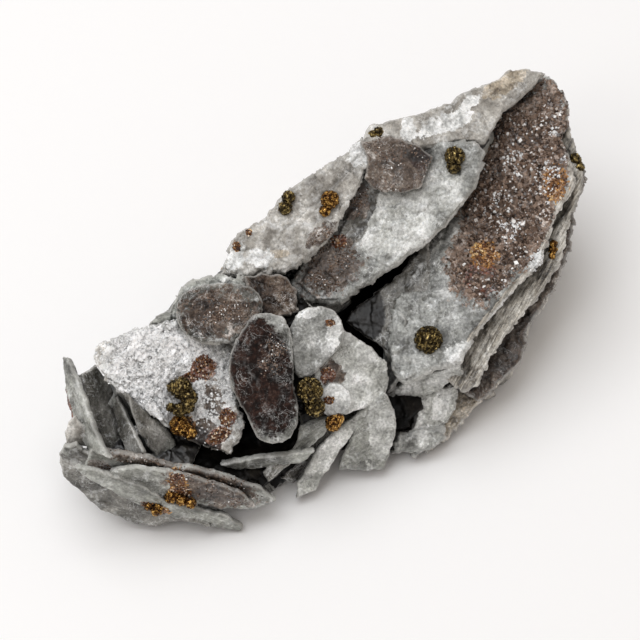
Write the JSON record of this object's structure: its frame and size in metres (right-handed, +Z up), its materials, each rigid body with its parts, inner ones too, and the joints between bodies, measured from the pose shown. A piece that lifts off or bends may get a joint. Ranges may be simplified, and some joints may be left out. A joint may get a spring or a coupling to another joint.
{
  "type": "calcite cluster",
  "caption": "Mineral specimen: intergrown grey calcite plates and blades with a druse slab on one side and small pyrite beads on their faces; rests on a flat underside",
  "frame": {"origin": "on the surface the cluster rests on, under the middle of its bounding box", "axes": "+X along the long axis towards the end with the druse slab, +Y towards the plain rear side, +Z up"},
  "size_m": [0.1249, 0.0613, 0.05],
  "materials": {
    "calcite": "satin",
    "pyrite": "satin"
  },
  "bodies": {
    "root": {"calcite": "calcite", "pyrite_on_pale_plate": "pyrite", "pyrite_below_pale_plate": "pyrite", "pyrite_on_oval_plate": "pyrite", "pyrite_on_small_plate": "pyrite", "pyrite_pair_left_on_ridge": "pyrite", "pyrite_pair_right_on_ridge": "pyrite", "pyrite_beside_disc": "pyrite", "pyrite_on_crest": "pyrite", "pyrite_ball_on_druse_slab": "pyrite", "pyrite_at_slab_edge": "pyrite", "pyrite_low_on_slabs": "pyrite", "pyrite_on_inner_petal": "pyrite", "pyrite_on_outer_petal": "pyrite"}
  },
  "joints": []
}
